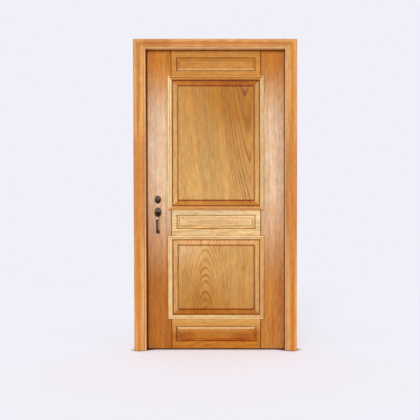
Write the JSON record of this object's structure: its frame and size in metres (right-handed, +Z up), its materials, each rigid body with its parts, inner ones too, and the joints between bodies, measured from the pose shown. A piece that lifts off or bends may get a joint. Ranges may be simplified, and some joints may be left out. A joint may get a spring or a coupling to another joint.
{
  "type": "panelled front door",
  "caption": "Panelled timber front door hung in its rebated frame, with raised panels, moulded surrounds, relief rails, grip handle, thumb latch and dead bolt.",
  "frame": {"origin": "on the sill line under the middle of the doorway, at the frame's outer face", "axes": "+X to the right seen from outside, +Y inwards from the outer face, +Z up"},
  "size_m": [1.134, 0.157, 2.162],
  "materials": {
    "frame_wood": "varnished",
    "stile_wood": "varnished",
    "rail_wood": "varnished",
    "panel_wood": "varnished",
    "moulding_wood": "varnished",
    "furniture_bronze": "dark bronze, satin",
    "hinge_bronze": "dark bronze, satin",
    "plate_bronze": "dark bronze, satin",
    "screw_bronze": "dark bronze",
    "lock_brass": "satin",
    "lock_steel": "zinc plated"
  },
  "bodies": {
    "frame": {"frame_jamb_lock": "frame_wood", "frame_jamb_hinge": "frame_wood", "frame_head": "frame_wood", "strike_plate": "plate_bronze", "strike_screws": "screw_bronze", "hinge_frame_leaf_top": "hinge_bronze", "hinge_frame_leaf_middle": "hinge_bronze", "hinge_frame_leaf_bottom": "hinge_bronze", "hinge_pin_top": "hinge_bronze", "hinge_pin_middle": "hinge_bronze", "hinge_pin_bottom": "hinge_bronze", "hinge_frame_screws": "screw_bronze"},
    "leaf": {"stile_lock": "stile_wood", "stile_hinge": "stile_wood", "rail_top": "rail_wood", "rail_middle": "rail_wood", "rail_bottom": "rail_wood", "panel_upper": "panel_wood", "panel_lower": "panel_wood", "moulding_outside_upper_top": "moulding_wood", "moulding_outside_upper_bottom": "moulding_wood", "moulding_outside_upper_left": "moulding_wood", "moulding_outside_upper_right": "moulding_wood", "moulding_outside_lower_top": "moulding_wood", "moulding_outside_lower_bottom": "moulding_wood", "moulding_outside_lower_left": "moulding_wood", "moulding_outside_lower_right": "moulding_wood", "moulding_inside_upper_top": "moulding_wood", "moulding_inside_upper_bottom": "moulding_wood", "moulding_inside_upper_left": "moulding_wood", "moulding_inside_upper_right": "moulding_wood", "moulding_inside_lower_top": "moulding_wood", "moulding_inside_lower_bottom": "moulding_wood", "moulding_inside_lower_left": "moulding_wood", "moulding_inside_lower_right": "moulding_wood", "hinge_door_leaf_top": "hinge_bronze", "hinge_door_leaf_middle": "hinge_bronze", "hinge_door_leaf_bottom": "hinge_bronze", "hinge_door_screws": "screw_bronze", "lock_case": "lock_steel", "lock_cover": "lock_steel", "lock_faceplate": "plate_bronze", "faceplate_screws": "screw_bronze", "cylinder_body": "lock_brass", "cylinder_rose": "furniture_bronze", "grip_handle": "furniture_bronze", "through_screws": "screw_bronze", "turn_rose": "furniture_bronze", "knob_rose": "furniture_bronze", "cylinder_screws": "screw_bronze"},
    "knob": {"inside_knob": "furniture_bronze", "knob_spindle": "lock_steel", "latch_follower": "lock_steel"},
    "thumb": {"thumb_piece": "furniture_bronze"},
    "latch": {"latch_bolt": "lock_brass"},
    "turn": {"cylinder_plug": "lock_brass", "tail_bar": "lock_steel", "bolt_cam": "lock_steel", "thumb_turn": "furniture_bronze"},
    "bolt": {"dead_bolt": "lock_brass"}
  },
  "joints": [
    {"name": "leaf_swing", "type": "hinge", "parent": "frame", "child": "leaf", "pos_m": [0.494, 0.112, 1.05], "axis": [0, 0, -1], "range_deg": [0, 100]},
    {"name": "knob_turn", "type": "hinge", "parent": "leaf", "child": "knob", "pos_m": [-0.4085, 0.105, 0.973], "axis": [0, -1, 0], "range_deg": [0, 45]},
    {"name": "latch_slide", "type": "slide", "parent": "leaf", "child": "latch", "axis": [-1, 0, 0], "range_m": [0, 0.012]},
    {"name": "thumb_press", "type": "hinge", "parent": "leaf", "child": "thumb", "pos_m": [-0.4085, 0.059, 0.96691], "axis": [-1, 0, 0], "range_deg": [0, 25.46]},
    {"name": "bolt_turn", "type": "hinge", "parent": "leaf", "child": "turn", "pos_m": [-0.4085, 0.105, 1.057], "axis": [0, -1, 0], "range_deg": [0, 90]},
    {"name": "bolt_slide", "type": "slide", "parent": "leaf", "child": "bolt", "axis": [-1, 0, 0], "range_m": [0, 0.02]}
  ],
  "couplings": [
    {"joint": "latch_slide", "follows": "knob_turn", "m_per_rad": 0.015278},
    {"joint": "thumb_press", "follows": "knob_turn", "ratio": 0.5657},
    {"joint": "bolt_turn", "follows": "bolt_slide", "rad_per_m": 78.54}
  ]
}
